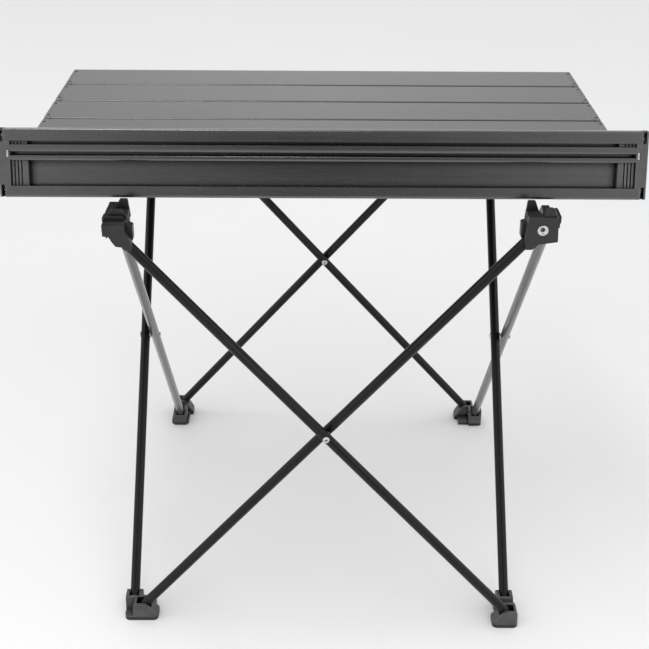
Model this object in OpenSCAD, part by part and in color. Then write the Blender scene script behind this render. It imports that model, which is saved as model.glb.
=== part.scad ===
// Folding side table: a roll-up top of seven hollow slats on elastic cords, clipped
// by its rails into the claws of a four-sided scissor frame of thin tubes.
// +X is to the right along the slats, +Y is to the back, +Z is up. The origin is on
// the floor under the middle of the table. The front slat is drawn swung up.

/* [Top] */
// Length of the top along the slats
top_length = 565; // [500:1:680]
// Distance from one slat to the next
slat_pitch = 61.5; // [60:0.5:62]
// Open gap between two slats
slat_gap = 1.5; // [1.5:0.1:2]
// Thickness of a slat
slat_t = 11; // [11:0.5:12]
// Wall thickness of the slat extrusion
slat_wall = 1.6; // [1.2:0.1:2]
// Angle by which the front slat is swung up
front_slat_angle = 104; // [0:1:106]

/* [Frame] */
// Height of the table top above the floor
table_height = 448; // [380:1:520]
// Distance between the pivots of two neighbouring corners
pivot_spacing = 368; // [364:1:369]
// Outer diameter of the frame tubes
tube_d = 9.5; // [9:0.1:9.6]
// Wall thickness of the frame tubes
tube_wall = 1; // [0.8:0.1:1.2]
// Height of the lower pivots above the floor
foot_pivot_z = 11; // [11:0.5:14]
// Depth of the upper pivots below the table top
hub_pivot_drop = 23; // [23:0.5:26]
// How far the frame stands to the right of the top's middle
frame_shift = 4; // [0:0.5:10]

/* [Cords] */
// Diameter of the elastic cords
cord_d = 2.6; // [2:0.1:2.8]
// Diameter of the cord tunnels in the end caps
tunnel_d = 3.2; // [3:0.1:3.4]

/* [Hidden] */
$fn = 64;
slats = 7;
eps = 0.01;

// Slat section, measured from its outer edge inwards
slat_w = slat_pitch - slat_gap;
edge_r = 2.5;
cavity_r = 0.9;
lip_t = 1.6;
lip_outer = 10.8;
lip_inner = 10;
rail_start = 14;
rail_end = 27.5;
rail_slot_start = 20;
rail_slot_end = 23.5;
rail_web = 1.5;
rail_crown = 0.6;
corner_notch_r = 1.3;
rail_cutback = 4;
slat_end_y = slat_w / 2;
slat_mid_z = table_height - slat_t / 2;

// End caps
flange_t = 6;
plug_length = 19;
extrusion_length = top_length - 2 * flange_t;
cap_rib_pitch = 3;
cap_ribs = 5;
play = 0.05;
cord_hole_inset = 10;
cord_x = top_length / 2 - 3.1;
knot_r = 2.2;
pocket_r = 2.5;
pocket_depth = 4.6;
staple_d = 1.8;
staple_length = 6;

// Frame geometry
half = pivot_spacing / 2;
hub_z = table_height - hub_pivot_drop;
tube_length = norm([pivot_spacing, hub_z - foot_pivot_z]);
tube_lean = atan(pivot_spacing / (hub_z - foot_pivot_z));
tube_overhang = 5;
pair_offset = 5.25;
front_plane = 17.5;
side_plane = 3.5;
outer_front_y = -front_plane - pair_offset;
inner_front_y = -front_plane + pair_offset;
outer_side_x = -side_plane - pair_offset;
inner_side_x = -side_plane + pair_offset;

// Pins, rivets and forks
pin_r = 2.5;
rivet_r = 2;
slot_half = tube_d / 2 + 0.3;
cheek_t = 3;
fork_half = slot_half + cheek_t;
blind_wall = 1.2;
eyelet_r = 4.7;
eyelet_mouth_r = 3.2;
eyelet_bore_r = 1.7;
eyelet_t = 0.8;
slot_reach = norm([tube_overhang, tube_d / 2]) + 0.4;
slot_open_angle = 46;
slot_length = 60;

// Feet
sole_t = 3.2;
sole_groove = 0.5;
plan_r = 5;

// Claws on the hubs. Heights are above the upper pivots.
deck_z = 11.7;
claw_tip_z = 20;
low_claw_tip_z = 16.5;
jaw_gap = 0.5;
front_jaw_t = 2;
rear_jaw_t = 2.5;
deck_back_y = 1.5;
ledge_z = 8.2;
ledge_proud = 0.8;
notch_fall = 22;
top_edge_y = half - (slats - 1) / 2 * slat_pitch - slat_w / 2;
front_jaw_y = [top_edge_y + rail_start - jaw_gap - front_jaw_t, top_edge_y + rail_start - jaw_gap];
rear_jaw_y = [top_edge_y + rail_end + jaw_gap, top_edge_y + rail_end + jaw_gap + rear_jaw_t];

SLAT_NODES = [for (part = ["slat_", "end_caps_", "elastic_cords_", "cap_staples_"])
    for (k = [1:slats]) str(part, k)];
FRAME_NODES = [
    "cord_knots_front", "cord_knots_rear",
    "front_tube_outer", "front_tube_inner", "back_tube_outer", "back_tube_inner",
    "left_tube_outer", "left_tube_inner", "right_tube_outer", "right_tube_inner",
    "front_scissor_rivet", "back_scissor_rivet", "left_scissor_rivet", "right_scissor_rivet",
    "hub_front_left", "hub_front_right", "hub_back_left", "hub_back_right",
    "foot_front_left", "foot_front_right", "foot_back_left", "foot_back_right",
    "hub_pins_front_left", "hub_pins_front_right", "hub_pins_back_left", "hub_pins_back_right",
    "foot_pins_front_left", "foot_pins_front_right", "foot_pins_back_left", "foot_pins_back_right"
];

// ---------------------------------------------------------------- slat sections

// A rectangle with round corners, from the origin.
module rounded_rectangle(w, h, r) {
    translate([r, 0]) square([w - 2 * r, h]);
    translate([0, r]) square([w, h - 2 * r]);
    for (x = [r, w - r], y = [r, h - r]) translate([x, y]) circle(r);
}

// One L-shaped rib of the rail: a web from the top sheet and a crowned foot at the bottom.
module rail_rib_2d(web_start, foot_start, foot_end) {
    foot_w = foot_end - foot_start;
    crown_r = (pow(foot_w / 2, 2) + pow(rail_crown, 2)) / (2 * rail_crown);
    translate([web_start, -slat_t + rail_crown])
        square([rail_web, slat_t - slat_wall / 2 - rail_crown]);
    translate([foot_start, -slat_t + rail_crown]) square([foot_w, lip_t]);
    intersection() {
        translate([foot_start + foot_w / 2, -slat_t + crown_r]) circle(crown_r);
        translate([foot_start, -slat_t - 1]) square([foot_w, rail_crown + 1.5]);
    }
}

// The shallow channel with two lips, without its rail.
module channel_2d() {
    cavity_w = slat_w - 2 * slat_wall;
    difference() {
        translate([0, -slat_t]) rounded_rectangle(slat_w, slat_t, edge_r);
        translate([slat_wall, -slat_t + lip_t])
            rounded_rectangle(cavity_w, slat_t - slat_wall - lip_t, cavity_r);
        translate([lip_outer, -slat_t - 1])
            square([slat_w - lip_outer - lip_inner, lip_t + 2]);
    }
}

// Runs a section drawn outwards-edge first along X, with its middle at x = 0.
module along_x(length) {
    translate([-length / 2, 0, 0]) rotate([90, 0, 90]) linear_extrude(length) children();
}

// A slat, with its outer edge at y = 0 and its top at z = 0. Its top sheet has a small
// round notch at each corner.
module slat_extrusion() {
    difference() {
        along_x(extrusion_length) channel_2d();
        for (side = [-1, 1], y = [edge_r, slat_w - edge_r])
            translate([side * extrusion_length / 2, y, -slat_wall - 0.5])
                cylinder(r = corner_notch_r, h = slat_wall + 1);
    }
    along_x(extrusion_length - 2 * rail_cutback) {
        rail_rib_2d(rail_start, rail_start, rail_slot_start);
        rail_rib_2d(rail_end - rail_web, rail_slot_end, rail_end);
    }
}

// The right-hand end cap of a slat, with the end of the extrusion at x = 0.
module end_cap(has_pocket) {
    plug_w = slat_w - 2 * (slat_wall + play);
    plug_h = slat_t - slat_wall - lip_t - 2 * play;
    plug_bottom = -slat_t + lip_t + play;
    tunnel_x = cord_x - extrusion_length / 2;
    difference() {
        union() {
            rotate([90, 0, 90]) linear_extrude(flange_t)
                translate([0, -slat_t]) rounded_rectangle(slat_w, slat_t, edge_r);
            translate([-plug_length, 0, 0]) rotate([90, 0, 90]) linear_extrude(plug_length + eps)
                translate([slat_wall + play, plug_bottom])
                    rounded_rectangle(plug_w, plug_h, cavity_r + play);
            translate([-rail_cutback + 0.1, lip_outer + 0.2, -slat_t])
                cube([rail_cutback, slat_w - lip_outer - lip_inner - 0.4, lip_t + 1]);
        }
        // Room for the rail
        translate([-plug_length - 1, rail_start - 0.3, -slat_t - 1])
            cube([plug_length - rail_cutback + 1.1, rail_end - rail_start + 0.6, slat_t + 1]);
        // Grooves that leave the ribs under the plug, on both sides of the rail
        for (i = [0:cap_ribs - 1], span = [[lip_outer, rail_start], [rail_end, slat_w - lip_inner]])
            translate([-plug_length + 4.5 + i * cap_rib_pitch, span[0], plug_bottom - 1])
                cube([cap_rib_pitch / 2, span[1] - span[0], 2.6]);
        // Seat for the staple
        translate([-rail_cutback / 2, staple_middle() + staple_length / 2 + play, -slat_t])
            rotate([90, 0, 0]) cylinder(r = staple_d / 2 + play, h = staple_length + 2 * play);
        // Tunnel for the cord, open below near both edges, with a round hole at each inner end
        translate([tunnel_x, slat_w + 1, -slat_t / 2])
            rotate([90, 0, 0]) cylinder(d = tunnel_d, h = slat_w + 2);
        for (y = [cord_hole_inset, slat_w - cord_hole_inset])
            translate([tunnel_x, y, -slat_t - 1]) cylinder(d = tunnel_d, h = slat_t + 2);
        for (y = [-1, slat_w - cord_hole_inset])
            translate([tunnel_x - tunnel_d / 2, y, -slat_t - 1])
                cube([tunnel_d, cord_hole_inset + 1, slat_t / 2 + 1]);
        for (y = [edge_r, slat_w - edge_r])
            translate([flange_t, y, -1.2]) cylinder(r = 0.9, h = 2);
        if (has_pocket)
            translate([tunnel_x, pocket_depth, -slat_t / 2])
                rotate([90, 0, 0]) cylinder(r = pocket_r, h = pocket_depth + 1);
    }
}

// Distance of the staple's middle from the slat's outer edge.
function staple_middle() = (rail_slot_start + rail_slot_end) / 2;

// ---------------------------------------------------------------- slat placing

// The hinge line between slat k and the slat behind it, inside the rear edge of slat k.
function slat_centre_y(k) = (k - (slats + 1) / 2) * slat_pitch;
function hinge_y(k) = slat_centre_y(k) + slat_end_y - slat_t / 2;
function at_end(k) = k == 1 || k == slats;

// Puts something drawn on a slat in its place. The last slat is turned round, so that
// its rail lies near the back edge, and the front slat is swung up about its hinge.
module on_slat(k) {
    if (k == slats)
        translate([0, slat_centre_y(k) + slat_end_y, table_height]) rotate([0, 0, 180]) children();
    else if (k == 1)
        translate([0, hinge_y(k), slat_mid_z]) rotate([-front_slat_angle, 0, 0])
            translate([0, slat_centre_y(k) - slat_end_y - hinge_y(k), slat_t / 2]) children();
    else
        translate([0, slat_centre_y(k) - slat_end_y, table_height]) children();
}

module both_ends() {
    children();
    mirror([1, 0, 0]) children();
}

module slat(k) {
    color("dimgray") on_slat(k) slat_extrusion();
}

module end_caps(k) {
    color([0.1, 0.1, 0.11]) on_slat(k)
        both_ends() translate([extrusion_length / 2, 0, 0]) end_cap(at_end(k));
}

module cap_staples(k) {
    color("whitesmoke") on_slat(k) both_ends()
        translate([(extrusion_length - rail_cutback) / 2,
                   staple_middle() + staple_length / 2, -slat_t])
            rotate([90, 0, 0]) cylinder(d = staple_d, h = staple_length);
}

// The elastic cord's stretch inside the caps of one slat, at both ends of the slat.
module elastic_cords(k) {
    start = at_end(k) ? pocket_depth + 0.1 : 0;
    color("black") on_slat(k) both_ends()
        translate([cord_x, slat_w, -slat_t / 2])
            rotate([90, 0, 0]) cylinder(d = cord_d, h = slat_w - start);
}

module cord_knots(k) {
    color("gainsboro") on_slat(k) both_ends()
        translate([cord_x, knot_r + 0.1, -slat_t / 2]) sphere(knot_r);
}

// ---------------------------------------------------------------- tubes and rivets

// A tube from its lower pivot at the origin up along Z, with its three cross bores
// along Y.
module frame_tube() {
    bores = [[0, pin_r], [tube_length / 2, rivet_r], [tube_length, pin_r]];
    difference() {
        translate([0, 0, -tube_overhang]) cylinder(d = tube_d, h = tube_length + 2 * tube_overhang);
        translate([0, 0, -tube_overhang - 1])
            cylinder(d = tube_d - 2 * tube_wall, h = tube_length + 2 * tube_overhang + 2);
        for (bore = bores)
            translate([0, tube_d, bore[0]]) rotate([90, 0, 0])
                cylinder(r = bore[1] + play, h = 2 * tube_d);
    }
}

// The front tube that rises from the left foot, and the one that rises from the right.
module front_inner_place() {
    translate([-half, -half + inner_front_y, foot_pivot_z]) rotate([0, tube_lean, 0]) children();
}

module front_outer_place() {
    translate([half, -half + outer_front_y, foot_pivot_z]) rotate([0, -tube_lean, 0]) children();
}

// The left tube that rises from the front foot, and the one that rises from the back.
module left_outer_place() {
    translate([-half + outer_side_x, -half, foot_pivot_z])
        rotate([-tube_lean, 0, 0]) rotate([0, 0, 90]) children();
}

module left_inner_place() {
    translate([-half + inner_side_x, half, foot_pivot_z])
        rotate([tube_lean, 0, 0]) rotate([0, 0, 90]) children();
}

// Everything on the frame is drawn about the frame's own middle.
module in_frame() {
    translate([frame_shift, 0, 0]) children();
}

// The back and right sides are the front and left ones turned half round.
module half_turn() {
    rotate([0, 0, 180]) children();
}

module tube_colour() {
    color([0.13, 0.13, 0.14]) children();
}

// A hollow rivet through both tubes of a side, with a washer between them. It lies
// along Y, centred on the crossing.
module scissor_rivet() {
    reach = pair_offset + tube_d / 2 + play;
    head_t = 1;
    head_r = 3.3;
    bore_r = 1;
    washer_t = 2 * (pair_offset - tube_d / 2) - 2 * play;
    color("silver") {
        translate([0, reach, 0]) rotate([90, 0, 0]) difference() {
            union() {
                cylinder(r = rivet_r, h = 2 * reach);
                translate([0, 0, -head_t]) cylinder(r1 = head_r - 0.8, r2 = head_r, h = head_t);
                translate([0, 0, 2 * reach]) cylinder(r1 = head_r, r2 = head_r - 0.8, h = head_t);
            }
            translate([0, 0, -head_t - 1]) cylinder(r = bore_r, h = 2 * (reach + head_t + 1));
        }
        translate([0, washer_t / 2, 0]) rotate([90, 0, 0]) difference() {
            cylinder(r = 3.4, h = washer_t);
            translate([0, 0, -1]) cylinder(r = rivet_r + play, h = washer_t + 2);
        }
    }
}

module front_rivet_place() {
    translate([0, -half - front_plane, (hub_z + foot_pivot_z) / 2]) children();
}

module left_rivet_place() {
    translate([-half - side_plane, 0, (hub_z + foot_pivot_z) / 2]) rotate([0, 0, 90]) children();
}

// ---------------------------------------------------------------- hubs and feet

// A corner is drawn with its upper or lower pivots at the origin, and with +X and +Y
// towards the middle of the table. "front_y" is the middle of its front or back tube,
// and "side_x" the middle of its side tube.

// Runs an outline drawn in X and Z along Y, between two values of y.
module along_y(y_low, y_high) {
    translate([0, y_high, 0]) rotate([90, 0, 0]) linear_extrude(y_high - y_low) children();
}

// Runs an outline drawn in Y and Z along X, between two values of x.
module across_x(x_low, x_high) {
    translate([x_low, 0, 0]) rotate([90, 0, 90]) linear_extrude(x_high - x_low) children();
}

// The space that a tube sweeps below its pivot as the frame folds.
module sweep_2d() {
    c = cos(slot_open_angle);
    s = sin(slot_open_angle);
    circle(slot_reach);
    polygon([
        [-slot_half, 0],
        [-slot_half, -slot_length],
        [slot_length * s, -slot_length],
        [slot_half * c + slot_length * s, slot_half * s - slot_length * c],
        [slot_half * c, slot_half * s]
    ]);
}

// The near cheek of a hub's fork for an inner tube, and for an outer one, whose top is a
// ledge.
module tall_cheek_2d() {
    polygon([[-13.7, -10.9], [2.7, -13.3], [5.8, -16.5], [8.2, -18.2], [13.6, -18.2],
             [14.6, -8], [13.6, 3], [12.6, deck_z], [-11.5, deck_z], [-12.8, deck_z - 1.6]]);
}

module ledge_cheek_2d() {
    polygon([[-7.4, -3.2], [-1.1, -3.6], [-0.6, -7.1], [3.2, -12.5], [8.2, -13.2], [10.9, -16.1],
             [16.8, -17], [17, -9], [13.5, -3], [11.5, 1], [11.5, ledge_z], [-6.6, ledge_z],
             [-7.4, ledge_z - 0.8]]);
}

// The raised band across a ledge cheek, above its pivot.
module ledge_band_2d() {
    polygon([[-7.4, 1.2], [11.5, 1.2], [11.5, ledge_z - 0.8], [-7.4, ledge_z - 0.8]]);
}

module far_cheek_2d() {
    polygon([[-8, -4], [-3, -12], [6, -17], [14, -17], [17.4, -9], [17.4, 3.2], [14.2, 4.4],
             [9, deck_z], [-7, deck_z], [-8, deck_z - 1]]);
}

// The three kinds of jaw on the claws.
module wedge_jaw_2d() {
    polygon([[-7.4, 5], [9.8, 5], [9.8, 13.6], [8.2, low_claw_tip_z], [0.6, low_claw_tip_z],
             [-7.4, ledge_z]]);
}

module prong_jaw_2d() {
    polygon([[-10.5, 5], [0.6, 5], [0.2, 11.2], [-2.2, claw_tip_z - 0.8], [-3, claw_tip_z],
             [-7, claw_tip_z], [-7.6, claw_tip_z - 0.6], [-7.6, 16.3], [-9.3, 16.3],
             [-10.5, 14.8]]);
}

module neck_jaw_2d() {
    polygon([[-1.6, 4], [13.4, 4], [11.8, claw_tip_z - 1], [11, claw_tip_z],
             [5.4, claw_tip_z], [4.6, claw_tip_z - 1], [0.6, deck_z]]);
}

// Where the pin of a tube starts and ends: a blind pin stops inside the outer cheek.
function pin_start(middle, blind) = middle - fork_half + (blind ? blind_wall : 0);
function pin_end(middle) = middle + fork_half;

// The bores of a corner's two pins.
module pin_bores(front_y, side_x, front_blind, side_blind) {
    along_y(pin_start(front_y, front_blind) - (front_blind ? 0 : 1), pin_end(front_y) + 1)
        circle(pin_r + play);
    across_x(pin_start(side_x, side_blind) - (side_blind ? 0 : 1), pin_end(side_x) + 1)
        circle(pin_r + play);
}

// A hollow pin along Z from z = 0, with a rolled eyelet below z = 0 unless it is blind.
module pin(length, blind) {
    difference() {
        union() {
            cylinder(r = pin_r, h = length);
            if (!blind) translate([0, 0, -eyelet_t]) cylinder(r = eyelet_r, h = eyelet_t);
        }
        translate([0, 0, -eyelet_t - 1]) cylinder(r = eyelet_bore_r, h = length + eyelet_t + 2);
        if (!blind)
            translate([0, 0, -eyelet_t - eps])
                cylinder(r1 = eyelet_mouth_r, r2 = eyelet_bore_r, h = 1.2);
    }
}

module corner_pins(front_y, side_x, front_blind, side_blind) {
    front_start = pin_start(front_y, front_blind);
    side_start = pin_start(side_x, side_blind);
    translate([0, front_start, 0]) rotate([-90, 0, 0])
        pin(pin_end(front_y) - front_start, front_blind);
    translate([side_start, 0, 0]) rotate([0, 90, 0])
        pin(pin_end(side_x) - side_start, side_blind);
}

// A hub. Where its front or back tube is the inner one, a V-shaped notch runs between
// its prong and its neck.
module hub(front_y, side_x) {
    front_is_inner = front_y == inner_front_y;
    outer_x = side_x - fork_half;
    deck_x = front_is_inner ? -13.4 : -7.4;
    difference() {
        union() {
            along_y(front_y - fork_half, front_y)
                if (front_is_inner) tall_cheek_2d(); else ledge_cheek_2d();
            along_y(front_y, front_y + fork_half) far_cheek_2d();
            across_x(outer_x, side_x)
                if (front_is_inner) ledge_cheek_2d(); else tall_cheek_2d();
            across_x(side_x, side_x + fork_half) far_cheek_2d();
            if (front_is_inner) across_x(outer_x - ledge_proud, outer_x + 1) ledge_band_2d();
            else along_y(front_y - fork_half - ledge_proud, front_y - fork_half + 1) ledge_band_2d();
            // Deck that joins the two forks under the slat
            along_y(front_jaw_y[0], deck_back_y)
                polygon([[deck_x, 2], [12.6, 2], [12.6, deck_z - 1], [11.6, deck_z],
                         [deck_x + 1.5, deck_z], [deck_x, deck_z - 1.5]]);
            // Round boss at the inner end of the deck
            translate([10.2, -12.5, -7]) cylinder(r = 3.4, h = deck_z + 7);
            along_y(front_jaw_y[0], front_jaw_y[1])
                if (front_is_inner) prong_jaw_2d(); else wedge_jaw_2d();
            along_y(rear_jaw_y[0], rear_jaw_y[1]) neck_jaw_2d();
        }
        along_y(front_y - slot_half, front_y + slot_half) sweep_2d();
        across_x(side_x - slot_half, side_x + slot_half) sweep_2d();
        pin_bores(front_y, side_x, !front_is_inner, front_is_inner);
        // Recess round the side eyelet, where the deck stands out past the fork
        if (!front_is_inner) across_x(outer_x - 3, outer_x) circle(eyelet_r + 0.6);
        if (front_is_inner)
            translate([-0.5, front_y - fork_half, deck_z + 0.9]) rotate([-notch_fall, 0, 0])
                along_y(-10, 60) polygon([[0, 0], [6.3, 15], [-2.7, 15]]);
    }
}

// The cheek of a foot's fork, with the floor at z = -foot_pivot_z.
module foot_cheek_2d(inner_reach) {
    floor_z = -foot_pivot_z;
    polygon([[-9, floor_z], [inner_reach, floor_z], [inner_reach, floor_z + 4.5],
             [inner_reach - 3, floor_z + 8], [8, 5], [6, 7.4], [4.6, 8], [-5.4, 8], [-7, 7.2],
             [-8.2, 4], [-8.2, floor_z + 8], [-9, floor_z + 5]]);
}

// A rectangle between two corners, with one radius at all four.
module round_plan(low, high, r) {
    translate([low[0] + r, low[1]]) square([high[0] - low[0] - 2 * r, high[1] - low[1]]);
    translate([low[0], low[1] + r]) square([high[0] - low[0], high[1] - low[1] - 2 * r]);
    for (x = [low[0] + r, high[0] - r], y = [low[1] + r, high[1] - r])
        translate([x, y]) circle(r);
}

module foot(front_y, side_x) {
    outer_x = min(side_x - fork_half, -9);
    front_face = front_y - fork_half;
    inner_x = 16.3;
    difference() {
        intersection() {
            union() {
                along_y(front_face, front_y + fork_half) foot_cheek_2d(inner_x);
                across_x(side_x - fork_half, side_x + fork_half) foot_cheek_2d(12);
                // Block that joins the two forks
                translate([outer_x, front_face, -foot_pivot_z])
                    cube([12 - outer_x, 9 - front_face, 5]);
            }
            translate([0, 0, -foot_pivot_z])
                linear_extrude(30) round_plan([outer_x, front_face], [inner_x, 12], plan_r);
        }
        along_y(front_y - slot_half, front_y + slot_half) mirror([0, 1]) sweep_2d();
        across_x(side_x - slot_half, side_x + slot_half) mirror([0, 1]) sweep_2d();
        pin_bores(front_y, side_x, true, true);
        // Groove that parts the sole from the body
        difference() {
            translate([outer_x - 1, front_face - 1, -foot_pivot_z + sole_t])
                cube([inner_x - outer_x + 2, 14 - front_face, sole_groove]);
            translate([0, 0, -foot_pivot_z]) linear_extrude(30)
                round_plan([outer_x + sole_groove, front_face + sole_groove],
                           [inner_x - sole_groove, 12 - sole_groove], plan_r - sole_groove);
        }
    }
}

// Puts a corner in its place, from the front left, the front right and so on.
module at_corner(back, right, z) {
    in_frame() rotate([0, 0, back ? 180 : 0])
        if (back == right) translate([-half, -half, z]) children();
        else mirror([1, 0, 0]) translate([-half, -half, z]) children();
}

// The hub at the front left and back right carries an outer front tube, and the other
// two hubs an inner one. The feet are the other way about.
module hub_at(back, right) {
    color([0.2, 0.2, 0.21]) at_corner(back, right, hub_z)
        if (back == right) hub(outer_front_y, inner_side_x);
        else hub(inner_front_y, outer_side_x);
}

module hub_pins_at(back, right) {
    color("lightgray") at_corner(back, right, hub_z)
        if (back == right) corner_pins(outer_front_y, inner_side_x, true, false);
        else corner_pins(inner_front_y, outer_side_x, false, true);
}

module foot_at(back, right) {
    color([0.25, 0.25, 0.26]) at_corner(back, right, foot_pivot_z)
        if (back == right) foot(inner_front_y, outer_side_x);
        else foot(outer_front_y, inner_side_x);
}

module foot_pins_at(back, right) {
    color("lightgray") at_corner(back, right, foot_pivot_z)
        if (back == right) corner_pins(inner_front_y, outer_side_x, true, true);
        else corner_pins(outer_front_y, inner_side_x, true, true);
}

// ---------------------------------------------------------------- nodes

for (k = [1:slats]) {
    slat(k);
    end_caps(k);
    elastic_cords(k);
    cap_staples(k);
}
cord_knots(1);  // cord_knots_front
cord_knots(slats);  // cord_knots_rear
tube_colour() in_frame() front_outer_place() frame_tube();  // front_tube_outer
tube_colour() in_frame() front_inner_place() frame_tube();  // front_tube_inner
tube_colour() in_frame() half_turn() front_outer_place() frame_tube();  // back_tube_outer
tube_colour() in_frame() half_turn() front_inner_place() frame_tube();  // back_tube_inner
tube_colour() in_frame() left_outer_place() frame_tube();  // left_tube_outer
tube_colour() in_frame() left_inner_place() frame_tube();  // left_tube_inner
tube_colour() in_frame() half_turn() left_outer_place() frame_tube();  // right_tube_outer
tube_colour() in_frame() half_turn() left_inner_place() frame_tube();  // right_tube_inner
in_frame() front_rivet_place() scissor_rivet();  // front_scissor_rivet
in_frame() half_turn() front_rivet_place() scissor_rivet();  // back_scissor_rivet
in_frame() left_rivet_place() scissor_rivet();  // left_scissor_rivet
in_frame() half_turn() left_rivet_place() scissor_rivet();  // right_scissor_rivet
hub_at(false, false);  // hub_front_left
hub_at(false, true);  // hub_front_right
hub_at(true, false);  // hub_back_left
hub_at(true, true);  // hub_back_right
foot_at(false, false);  // foot_front_left
foot_at(false, true);  // foot_front_right
foot_at(true, false);  // foot_back_left
foot_at(true, true);  // foot_back_right
hub_pins_at(false, false);  // hub_pins_front_left
hub_pins_at(false, true);  // hub_pins_front_right
hub_pins_at(true, false);  // hub_pins_back_left
hub_pins_at(true, true);  // hub_pins_back_right
foot_pins_at(false, false);  // foot_pins_front_left
foot_pins_at(false, true);  // foot_pins_front_right
foot_pins_at(true, false);  // foot_pins_back_left
foot_pins_at(true, true);  // foot_pins_back_right
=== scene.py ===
"""Looks of the folding side table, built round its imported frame. Lengths are in metres."""
import math

import bmesh
import bpy
from mathutils import Matrix, Vector


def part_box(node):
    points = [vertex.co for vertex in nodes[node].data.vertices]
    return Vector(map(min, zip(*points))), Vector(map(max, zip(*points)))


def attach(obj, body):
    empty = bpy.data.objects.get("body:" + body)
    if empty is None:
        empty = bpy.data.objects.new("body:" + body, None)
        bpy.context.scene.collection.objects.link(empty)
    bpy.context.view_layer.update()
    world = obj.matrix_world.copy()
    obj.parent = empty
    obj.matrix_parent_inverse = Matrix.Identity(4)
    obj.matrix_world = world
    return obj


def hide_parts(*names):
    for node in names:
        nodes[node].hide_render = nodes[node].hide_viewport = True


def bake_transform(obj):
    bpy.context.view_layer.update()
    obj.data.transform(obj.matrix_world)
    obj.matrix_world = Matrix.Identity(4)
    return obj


MM = 0.001
SLATS = 7
SLAT_PITCH = 61.5 * MM
SLAT_WIDTH = 60 * MM
SLAT_THICKNESS = 11 * MM
FRONT_SLAT_ANGLE = math.radians(104)
TABLE_HEIGHT = 448 * MM
SOLE_HEIGHT = 3.4 * MM
PALE_TUBES = ("left_tube_inner", "right_tube_outer")
CORD_X = 279.4 * MM
CORD_RADIUS = 1.3 * MM
POCKET_DEPTH = 4.7 * MM
JOINT_START = 4.5 * MM
JOINT_REACH = 6 * MM
JOINT_BEND = 3 * MM
KNOT_SIZE = 0.5 * MM
KNOT_CORD_RADIUS = 0.62 * MM
WEAVE_TWIST = 1.6
BEND_STEPS = 12
KNOT_STEPS = 90

WELD_DISTANCE = 0.01 * MM
SHARP_ANGLE = math.radians(35)
METAL_EDGE = 0.15 * MM
TUBE_EDGE = 0.2 * MM
SLAT_EDGE = 0.25 * MM
HUB_EDGE = 0.5 * MM
FOOT_EDGE = 0.6 * MM

DEEP_SHADE = (0.004, 0.004, 0.004)
SOLE_SHADE = (0.012, 0.012, 0.012)
# The tubes in PALE_TUBES get paler base colours and a thicker coat than the other six.
PALER_TUBE = ((0.07, 0.07, 0.07), (0.10, 0.10, 0.10), 0.8)
BLACK_TUBE = ((0.004, 0.004, 0.004), (0.008, 0.008, 0.008), 0.15)
FLOOR_SIZE = 24

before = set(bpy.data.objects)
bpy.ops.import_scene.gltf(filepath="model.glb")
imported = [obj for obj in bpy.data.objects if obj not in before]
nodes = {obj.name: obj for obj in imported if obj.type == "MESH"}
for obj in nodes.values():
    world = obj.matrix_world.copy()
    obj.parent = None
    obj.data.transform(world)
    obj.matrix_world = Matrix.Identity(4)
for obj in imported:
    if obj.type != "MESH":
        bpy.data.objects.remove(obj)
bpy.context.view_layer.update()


# ---------------------------------------------------------------- node helpers

def new_material(name, **sockets):
    """A material whose whole-surface values sit on its shader's own sockets."""
    material = bpy.data.materials.new(name)
    material.use_nodes = True
    shader = material.node_tree.nodes["Principled BSDF"]
    for socket, value in sockets.items():
        shader.inputs[socket.replace("_", " ")].default_value = value
    return material


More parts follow.
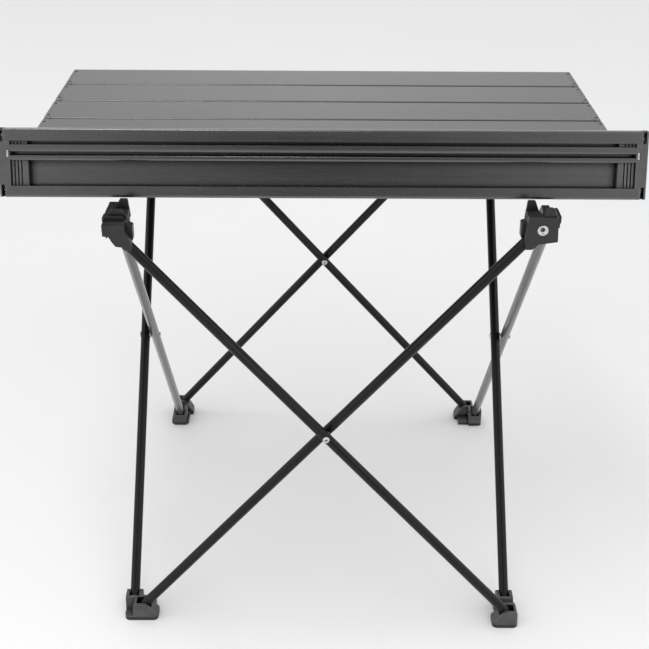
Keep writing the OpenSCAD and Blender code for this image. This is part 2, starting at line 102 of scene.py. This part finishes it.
class Graph:
    """Short names for the nodes that the materials are made of."""

    def __init__(self, tree):
        self.tree = tree

    def add(self, kind, **settings):
        node = self.tree.nodes.new("ShaderNode" + kind)
        for key, value in settings.items():
            setattr(node, key, value)
        return node

    def link(self, output, socket):
        self.tree.links.new(output, socket)

    def place(self, stretch=(1, 1, 1), turn=(0, 0, 0)):
        """Object coordinates, turned and stretched, in metres before the stretch."""
        source = self.add("TexCoord").outputs["Object"]
        turned = self.add("Mapping", vector_type="TEXTURE")
        turned.inputs["Rotation"].default_value = turn
        self.link(source, turned.inputs["Vector"])
        stretched = self.add("Mapping")
        stretched.inputs["Scale"].default_value = stretch
        self.link(turned.outputs["Vector"], stretched.inputs["Vector"])
        return stretched.outputs["Vector"]

    def noise(self, place, scale, detail=3.0, roughness=0.55):
        node = self.add("TexNoise")
        node.inputs["Scale"].default_value = scale
        node.inputs["Detail"].default_value = detail
        node.inputs["Roughness"].default_value = roughness
        self.link(place, node.inputs["Vector"])
        return node.outputs["Fac"]

    def ramp(self, value, stops, interpolation="LINEAR"):
        """Grey or coloured values at positions along a ramp."""
        node = self.add("ValToRGB")
        node.color_ramp.interpolation = interpolation
        elements = node.color_ramp.elements
        while len(elements) < len(stops):
            elements.new(0.5)
        for element, (position, shade) in zip(elements, stops):
            element.position = position
            element.color = shade if len(shade) == 4 else (*shade, 1)
        self.link(value, node.inputs["Fac"])
        return node.outputs["Color"]

    def spread(self, value, low, high, new_low, new_high):
        node = self.add("MapRange")
        for name, number in zip(("From Min", "From Max", "To Min", "To Max"),
                                (low, high, new_low, new_high)):
            node.inputs[name].default_value = number
        self.link(value, node.inputs["Value"])
        return node.outputs["Result"]

    def maths(self, operation, first, second):
        node = self.add("Math", operation=operation)
        for socket, value in zip(node.inputs, (first, second)):
            if isinstance(value, (int, float)):
                socket.default_value = value
            else:
                self.link(value, socket)
        return node.outputs["Value"]

    def mix(self, factor, first, second, blend="MIX"):
        node = self.add("Mix", data_type="RGBA", blend_type=blend)
        if isinstance(factor, float):
            node.inputs["Factor"].default_value = factor
        else:
            self.link(factor, node.inputs["Factor"])
        for socket, colour in ((node.inputs[6], first), (node.inputs[7], second)):
            if isinstance(colour, tuple):
                socket.default_value = (*colour, 1)
            else:
                self.link(colour, socket)
        return node.outputs[2]

    def bump(self, height, strength, distance, normal=None):
        node = self.add("Bump")
        node.inputs["Strength"].default_value = strength
        node.inputs["Distance"].default_value = distance
        self.link(height, node.inputs["Height"])
        if normal is not None:
            self.link(normal, node.inputs["Normal"])
        return node.outputs["Normal"]

    def edges(self, radius):
        """About 1 along sharp edges and 0 on flat faces."""
        bevel = self.add("Bevel", samples=6)
        bevel.inputs["Radius"].default_value = radius
        geometry = self.add("NewGeometry")
        dot = self.add("VectorMath", operation="DOT_PRODUCT")
        self.link(bevel.outputs["Normal"], dot.inputs[0])
        self.link(geometry.outputs["Normal"], dot.inputs[1])
        return self.spread(dot.outputs["Value"], 0.99, 0.8, 0.0, 1.0)

    def crevice_shade(self, reach):
        """Mask for painted shade: 0 deep in slots, under lips and between parts, and 1 out in the
        open.
        """
        node = self.add("AmbientOcclusion", samples=6)
        node.inputs["Distance"].default_value = reach
        return self.spread(node.outputs["AO"], 0.5, 0.97, 0.0, 1.0)


def shader_of(material):
    return material.node_tree.nodes["Principled BSDF"]


# ---------------------------------------------------------------- materials

def anodised_slat():
    """Dark anodised extrusion, with die lines along its length, paler edges that are part wear and
    part painted highlight, and painted shade in its slots and joints.
    """
    material = new_material("slat_anodised", Metallic=0.9, IOR=1.5, Coat_Weight=0.45,
                            Coat_Roughness=0.22, Coat_IOR=1.5)
    g = Graph(material.node_tree)
    shader = shader_of(material)
    along_x = g.place(stretch=(0.012, 1, 1))
    die_lines = g.noise(along_x, 2600, detail=2)
    bands = g.noise(along_x, 260, detail=3)
    grain = g.noise(g.place(stretch=(0.12, 1, 1)), 5200, detail=2)
    cloud = g.noise(g.place(), 9, detail=2)
    streaks = g.maths("ADD", g.maths("MULTIPLY", die_lines, 0.6), g.maths("MULTIPLY", bands, 0.4))
    base = g.ramp(streaks, [(0.30, (0.104, 0.104, 0.107)), (0.70, (0.148, 0.148, 0.152))])
    clouded = g.mix(g.spread(cloud, 0.35, 0.7, 0.0, 0.22), base, (0.085, 0.085, 0.088))
    # Paler edges: part wear, part a painted highlight on the rounded edges and joints.
    paler_edges = g.maths("MULTIPLY", g.edges(0.0005), g.spread(grain, 0.4, 0.6, 0.04, 0.2))
    rubbed = g.mix(paler_edges, clouded, (0.28, 0.28, 0.29))
    # Painted shade: the colour darkens to DEEP_SHADE in slots, under lips and in the joints between
    # slats.
    g.link(g.mix(g.crevice_shade(8 * MM), DEEP_SHADE, rubbed), shader.inputs["Base Color"])
    rough = g.maths("ADD", g.spread(streaks, 0.3, 0.7, 0.22, 0.30),
                    g.spread(grain, 0.3, 0.7, -0.03, 0.03))
    g.link(rough, shader.inputs["Roughness"])
    fine = g.bump(grain, 0.10, 0.00004)
    g.link(g.bump(die_lines, 0.22, 0.00005, fine), shader.inputs["Normal"])
    return material


def anodised_tube(name, turn, dark, pale, coat):
    """Anodised tube, with draw lines along its own length."""
    material = new_material(name, Metallic=0.3, IOR=1.5, Specular_IOR_Level=0.25,
                            Coat_Weight=coat, Coat_Roughness=0.12)
    g = Graph(material.node_tree)
    shader = shader_of(material)
    lengthwise = g.place(stretch=(1, 1, 0.02), turn=turn)
    draw_lines = g.noise(lengthwise, 1900, detail=3)
    grain = g.noise(g.place(), 2600, detail=2)
    cloud = g.noise(g.place(stretch=(1, 1, 0.25), turn=turn), 45, detail=3)
    base = g.ramp(draw_lines, [(0.3, dark), (0.7, pale)])
    clouded = g.mix(g.spread(cloud, 0.45, 0.75, 0.0, 0.5), base, tuple(1.8 * c for c in pale))
    paler_edges = g.maths("MULTIPLY", g.edges(0.0004), 0.5)
    g.link(g.mix(paler_edges, clouded, (0.22, 0.22, 0.23)), shader.inputs["Base Color"])
    rough = g.maths("ADD", g.spread(cloud, 0.3, 0.7, 0.25, 0.36),
                    g.spread(grain, 0.3, 0.7, -0.03, 0.03))
    g.link(rough, shader.inputs["Roughness"])
    g.link(g.bump(draw_lines, 0.18, 0.00004, g.bump(grain, 0.08, 0.00003)),
           shader.inputs["Normal"])
    return material


def moulded_plastic(name, dark, pale, rough, grain_scale, scuffs, sole=0.0):
    """Moulded nylon with a fine spark texture, scuffed edges, a darker sole up to a height and
    painted shade in its recesses.
    """
    material = new_material(name, IOR=1.5, Specular_IOR_Level=0.5)
    g = Graph(material.node_tree)
    shader = shader_of(material)
    place = g.place()
    texture = g.noise(place, grain_scale, detail=2)
    cloud = g.noise(place, 60, detail=4)
    scratches = g.noise(g.place(stretch=(1, 1, 0.15), turn=(0.5, 0.7, 0.2)), 900, detail=2)
    base = g.ramp(cloud, [(0.3, dark), (0.7, pale)])
    rubbed = g.maths("MULTIPLY", g.spread(scratches, 0.58, 0.72, 0.0, 1.0),
                     g.spread(cloud, 0.45, 0.65, 0.0, scuffs))
    paler_edges = g.maths("MULTIPLY", g.edges(0.0007), g.spread(cloud, 0.3, 0.7, 0.35, 0.9))
    scuffed = g.mix(g.maths("MAXIMUM", rubbed, paler_edges), base, tuple(min(1, 3.2 * c) for c in pale))
    height = g.add("SeparateXYZ")
    g.link(place, height.inputs[0])
    above_sole = g.spread(height.outputs["Z"], sole - 0.0003, sole, 0.0, 1.0)
    underfoot = g.mix(g.spread(cloud, 0.3, 0.7, 0.0, 0.6), dark, SOLE_SHADE)
    whole = g.mix(above_sole, underfoot, scuffed)
    # Painted shade: the colour darkens to DEEP_SHADE in recesses, slots and between parts.
    g.link(g.mix(g.crevice_shade(5 * MM), DEEP_SHADE, whole), shader.inputs["Base Color"])
    g.link(g.spread(texture, 0.3, 0.7, rough - 0.06, rough + 0.08), shader.inputs["Roughness"])
    g.link(g.bump(texture, 0.25, 0.00008, g.bump(cloud, 0.1, 0.0002)), shader.inputs["Normal"])
    return material


def bright_steel():
    """Nickel-plated steel of the pins, rivets and staples."""
    material = new_material("bright_steel", Metallic=1.0, IOR=2.0)
    g = Graph(material.node_tree)
    shader = shader_of(material)
    place = g.place()
    turning = g.noise(place, 1500, detail=3)
    cloud = g.noise(place, 240, detail=3)
    base = g.ramp(cloud, [(0.3, (0.50, 0.50, 0.49)), (0.7, (0.72, 0.72, 0.71))])
    tarnish = g.spread(turning, 0.55, 0.75, 0.0, 0.5)
    g.link(g.mix(tarnish, base, (0.33, 0.31, 0.28)), shader.inputs["Base Color"])
    g.link(g.spread(turning, 0.3, 0.7, 0.18, 0.34), shader.inputs["Roughness"])
    g.link(g.bump(turning, 0.15, 0.00004), shader.inputs["Normal"])
    return material


def braided_cord():
    """Black woven jacket of the elastic cord, with pale tracer threads."""
    material = new_material("elastic_cord_braid", Sheen_Weight=0.35, Sheen_Roughness=0.4)
    g = Graph(material.node_tree)
    shader = shader_of(material)
    threads = g.noise(g.place(stretch=(1, 0.35, 1)), 1700, detail=2)
    flecks = g.noise(g.place(), 700, detail=1)
    base = g.ramp(threads, [(0.3, (0.012, 0.012, 0.013)), (0.7, (0.06, 0.06, 0.062))])
    tracer = g.spread(flecks, 0.56, 0.62, 0.0, 1.0)
    g.link(g.mix(tracer, base, (0.62, 0.62, 0.60)), shader.inputs["Base Color"])
    g.link(g.spread(threads, 0.3, 0.7, 0.65, 0.9), shader.inputs["Roughness"])
    g.link(g.bump(threads, 0.5, 0.0001), shader.inputs["Normal"])
    return material


def studio_floor():
    """Pale backdrop floor, with a painted pool of light under the front of the table that fades to
    painted shade further away.
    """
    material = new_material("studio_floor", Roughness=0.75)
    g = Graph(material.node_tree)
    place = g.place()
    mottle = g.ramp(g.noise(place, 1.7, detail=4), [(0.3, (0.98,) * 3), (0.7, (1.0,) * 3)])
    away = g.add("VectorMath", operation="DISTANCE")
    away.inputs[1].default_value = (0, -0.25, 0)
    g.link(place, away.inputs[0])
    # Painted light and shade: paler round a point under the front of the table and darker further
    # off, in place of the table's soft shadow falling behind it.
    painted_floor_light = g.ramp(g.spread(away.outputs["Value"], 0.1, 0.9, 0.0, 1.0),
                   [(0.0, (0.90,) * 3), (1.0, (0.755,) * 3)], "EASE")
    g.link(g.mix(1.0, painted_floor_light, mottle, "MULTIPLY"), shader_of(material).inputs["Base Color"])
    return material


# ---------------------------------------------------------------- CAD nodes

def dress(name, material, bevel):
    """Gives a CAD node its material, and rounds its sharp edges with modifiers only."""
    obj = nodes[name]
    obj.data.materials.clear()
    obj.data.materials.append(material)
    weld = obj.modifiers.new("weld", "WELD")
    weld.merge_threshold = WELD_DISTANCE
    rounding = obj.modifiers.new("bevel", "BEVEL")
    rounding.width = bevel
    rounding.segments = 2
    rounding.limit_method = "ANGLE"
    rounding.angle_limit = SHARP_ANGLE
    rounding.use_clamp_overlap = True
    normals = obj.modifiers.new("normals", "WEIGHTED_NORMAL")
    normals.keep_sharp = False


def tube_turn(name):
    """The turn that brings a tube's own length onto Z, from the node's box."""
    low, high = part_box(name)
    size = high - low
    lean = math.atan2(max(size.x, size.y), size.z)
    side, layer = name.split("_")[0], name.split("_")[-1]
    rises_from_left = layer == "inner"
    if side in ("back", "right"):
        rises_from_left = not rises_from_left
    if side in ("front", "back"):
        return (0, lean if rises_from_left else -lean, 0)
    return (lean if rises_from_left else -lean, 0, 0)


def dress_cad():
    """Gives every CAD node that stays in view its material."""
    slat = anodised_slat()
    caps = moulded_plastic("cap_grey", (0.080, 0.080, 0.082), (0.115, 0.115, 0.118), 0.30, 2400, 0.1)
    hubs = moulded_plastic("hub_black", (0.009, 0.009, 0.010), (0.020, 0.020, 0.021), 0.40, 2000, 0.5)
    feet = moulded_plastic("foot_grey", (0.045, 0.045, 0.046), (0.080, 0.080, 0.082), 0.5, 1800, 0.6,
                           sole=SOLE_HEIGHT)
    steel = bright_steel()
    for k in range(1, SLATS + 1):
        dress(f"slat_{k}", slat, SLAT_EDGE)
        dress(f"end_caps_{k}", caps, SLAT_EDGE)
        dress(f"cap_staples_{k}", steel, TUBE_EDGE)
    for side in ("front", "back", "left", "right"):
        for layer in ("outer", "inner"):
            name = f"{side}_tube_{layer}"
            finish, look = ("_paler", PALER_TUBE) if name in PALE_TUBES else ("_black", BLACK_TUBE)
            dress(name, anodised_tube(name + finish, tube_turn(name), *look), TUBE_EDGE)
        dress(f"{side}_scissor_rivet", steel, METAL_EDGE)
    for corner in ("front_left", "front_right", "back_left", "back_right"):
        dress("hub_" + corner, hubs, HUB_EDGE)
        dress("foot_" + corner, feet, FOOT_EDGE)
        dress("hub_pins_" + corner, steel, METAL_EDGE)
        dress("foot_pins_" + corner, steel, METAL_EDGE)


# ---------------------------------------------------------------- cords

def hinge_point(k):
    """The hinge line between slat k and the slat behind it, as (y, z)."""
    centre = (k - (SLATS + 1) / 2) * SLAT_PITCH
    return centre + SLAT_WIDTH / 2 - SLAT_THICKNESS / 2, TABLE_HEIGHT - SLAT_THICKNESS / 2


def swing(point, k):
    """Turns a point of the front slat up to its rest place. The other slats lie flat."""
    if k != 1:
        return Vector(point)
    y, z = hinge_point(1)
    about = Vector((0, y, z))
    return Matrix.Rotation(-FRONT_SLAT_ANGLE, 3, "X") @ (Vector(point) - about) + about


def braided_tube(points, radius, around=20, strands=5, relief=0.09):
    """A tube along a path, whose surface rises and falls like a woven sheath."""
    mesh = bmesh.new()
    rings = []
    travelled = 0
    for i, point in enumerate(points):
        ahead = points[min(i + 1, len(points) - 1)] - points[max(i - 1, 0)]
        if i:
            travelled += (point - points[i - 1]).length
        spin = ahead.to_track_quat("Z", "X")
        ring = []
        for step in range(around):
            angle = 2 * math.pi * step / around
            phase = travelled / radius * WEAVE_TWIST
            weave = math.cos(strands * angle + phase) * math.cos(strands * angle - phase)
            reach = radius * (1 - relief + relief * weave)
            offset = Vector((math.cos(angle), math.sin(angle), 0)) * reach
            ring.append(mesh.verts.new(point + spin @ offset))
        rings.append(ring)
    for first, second in zip(rings, rings[1:]):
        for step in range(around):
            after = (step + 1) % around
            mesh.faces.new((first[step], first[after], second[after], second[step]))
    mesh.faces.new(reversed(rings[0]))
    mesh.faces.new(rings[-1])
    return mesh


def add_tubes(name, paths, radius, material):
    """One object made of a braided tube along each path."""
    joined = bpy.data.meshes.new(name)
    whole = bmesh.new()
    for path in paths:
        part = braided_tube(path, radius)
        part.to_mesh(joined)
        part.free()
        whole.from_mesh(joined)
    for face in whole.faces:
        face.smooth = True
    whole.to_mesh(joined)
    whole.free()
    obj = bpy.data.objects.new(name, joined)
    bpy.context.scene.collection.objects.link(obj)
    joined.materials.append(material)
    return obj


def straight(start, end, spacing=0.5 * MM):
    """Evenly spaced points from start to end."""
    count = max(2, round((end - start).length / spacing))
    return [start.lerp(end, i / count) for i in range(count + 1)]


def cord_run(side, k):
    """The stretch of cord inside the caps of slat k."""
    y, z = hinge_point(k)
    front_edge = y + SLAT_THICKNESS / 2 - SLAT_WIDTH
    start, end = front_edge + JOINT_REACH - SLAT_PITCH + SLAT_WIDTH, y - JOINT_START
    if k == 1:
        start = front_edge + POCKET_DEPTH
    if k == SLATS:
        end = y + SLAT_THICKNESS / 2 - POCKET_DEPTH
    points = straight(Vector((side * CORD_X, start, z)), Vector((side * CORD_X, end, z)))
    return [swing(point, k) for point in points]


def joint_run(side, k):
    """The stretch of cord that crosses from slat k to the slat behind it."""
    y, z = hinge_point(k)
    far = y + SLAT_THICKNESS / 2 + JOINT_REACH
    before = swing((side * CORD_X, y - JOINT_START, z), k)
    middle = Vector((side * CORD_X, y, z))
    after = Vector((side * CORD_X, far, z))
    corner = (before - middle).normalized() * JOINT_BEND
    entry, leave = middle + corner, middle + (after - middle).normalized() * JOINT_BEND
    bend = []
    for i in range(1, BEND_STEPS):
        t = i / BEND_STEPS
        bend.append(entry * (1 - t) ** 2 + middle * 2 * t * (1 - t) + leave * t ** 2)
    return straight(before, entry) + bend + straight(leave, after)


def knot_path(middle, size):
    """The loops of an overhand knot about a point."""
    points = []
    for i in range(KNOT_STEPS + 1):
        t = 2 * math.pi * i / KNOT_STEPS
        loop = Vector((math.sin(t) + 2 * math.sin(2 * t), -math.sin(3 * t),
                       math.cos(t) - 2 * math.cos(2 * t)))
        points.append(middle + loop * size)
    return points


def add_cords():
    """Both elastic cords and their knots, in place of the plain CAD ones."""
    braid = braided_cord()
    for k in range(1, SLATS + 1):
        runs = [cord_run(side, k) for side in (-1, 1)]
        cord = add_tubes(f"cord_run_{k}", runs, CORD_RADIUS, braid)
        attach(cord, f"slat_{k}")
        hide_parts(f"elastic_cords_{k}")
    for k in range(1, SLATS):
        runs = [joint_run(side, k) for side in (-1, 1)]
        cord = add_tubes(f"cord_joint_{k}", runs, CORD_RADIUS, braid)
        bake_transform(cord)
    for node, k in (("cord_knots_front", 1), ("cord_knots_rear", SLATS)):
        low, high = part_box(node)
        middle = (low + high) / 2
        knots = [knot_path(Vector((side * CORD_X, middle.y, middle.z)), KNOT_SIZE)
                 for side in (-1, 1)]
        knot = add_tubes(node + "_tied", knots, KNOT_CORD_RADIUS, braid)
        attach(knot, f"slat_{k}")
        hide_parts(node)


# ---------------------------------------------------------------- stage

def add_floor():
    """A wide plain floor, which isn't part of the object."""
    bpy.ops.mesh.primitive_grid_add(x_subdivisions=24, y_subdivisions=24, size=FLOOR_SIZE)
    floor = bpy.context.object
    floor.name = "floor"
    floor.data.materials.append(studio_floor())
    return floor


def add_camera():
    """The photograph's viewpoint: nearly square on, from above the front edge."""
    location = Vector((-5.19, -1199.85, 837.27)) * MM
    pitch, yaw, roll = (math.radians(v) for v in (26.815, -0.393, 0.411))
    forward = Vector((-math.sin(yaw) * math.cos(pitch), math.cos(yaw) * math.cos(pitch),
                      -math.sin(pitch)))
    right = Vector((math.cos(yaw), math.sin(yaw), 0))
    up = right.cross(forward)
    turned_right = right * math.cos(roll) + up * math.sin(roll)
    turned_up = up * math.cos(roll) - right * math.sin(roll)
    data = bpy.data.cameras.new("camera")
    data.sensor_width = 36
    data.lens = 69.76
    camera = bpy.data.objects.new("camera", data)
    bpy.context.scene.collection.objects.link(camera)
    axes = Matrix((turned_right, turned_up, -forward)).transposed()
    camera.matrix_world = Matrix.Translation(location) @ axes.to_4x4()
    bpy.context.scene.camera = camera


def add_studio_world():
    """Pale light from all round, dimmer from the front, where the photographer stands."""
    world = bpy.data.worlds.new("studio")
    bpy.context.scene.world = world
    world.use_nodes = True
    g = Graph(world.node_tree)
    background = world.node_tree.nodes["Background"]
    output = world.node_tree.nodes["World Output"]
    direction = g.add("TexCoord").outputs["Generated"]
    split = g.add("SeparateXYZ")
    g.link(direction, split.inputs[0])
    aside = g.maths("ABSOLUTE", split.outputs["X"], 0.0)
    across = g.ramp(aside, [(0.0, (0.10,) * 3), (0.08, (0.15,) * 3), (0.21, (0.80,) * 3),
                            (0.5, (1.15,) * 3)])
    ahead = g.spread(split.outputs["Y"], 0.28, -0.12, 0.0, 1.0)
    behind = g.ramp(aside, [(0.0, (0.84,) * 3), (0.22, (0.66,) * 3), (0.45, (0.80,) * 3)])
    above = g.spread(split.outputs["Z"], 0.5, 0.85, 0.0, 1.0)
    height = g.mix(above, behind, (1.5, 1.5, 1.5))
    light = g.mix(ahead, height, across)
    g.link(light, background.inputs["Color"])
    plain = g.add("Background")
    plain.inputs["Color"].default_value = (0.82, 0.82, 0.82, 1)
    seen = g.add("LightPath").outputs["Is Camera Ray"]
    choose = g.add("MixShader")
    g.link(seen, choose.inputs[0])
    g.link(background.outputs[0], choose.inputs[1])
    g.link(plain.outputs[0], choose.inputs[2])
    g.link(choose.outputs[0], output.inputs["Surface"])


def add_light(name, location, target, size, power, lit=None):
    """A soft rectangular light. If lit is given, it lights that object only."""
    data = bpy.data.lights.new(name, "AREA")
    data.shape = "RECTANGLE"
    data.size, data.size_y = size
    data.energy = power
    light = bpy.data.objects.new(name, data)
    light.location = location
    light.rotation_euler = (Vector(target) - Vector(location)).to_track_quat("-Z", "Y").to_euler()
    bpy.context.scene.collection.objects.link(light)
    if lit is not None:
        light.light_linking.receiver_collection = bpy.data.collections.new(name + "_lights")
        light.light_linking.receiver_collection.objects.link(lit)


dress_cad()
add_cords()
floor = add_floor()
add_camera()
add_studio_world()
add_light("strip", (-0.5, -0.2, 2.7), (0, 0, 0.2), (2.4, 0.14), 14)
add_light("front", (0.0, -1.7, 2.3), (0, 0.1, 0), (2.2, 1.2), 13, lit=floor)
bpy.context.scene.view_settings.view_transform = "Standard"
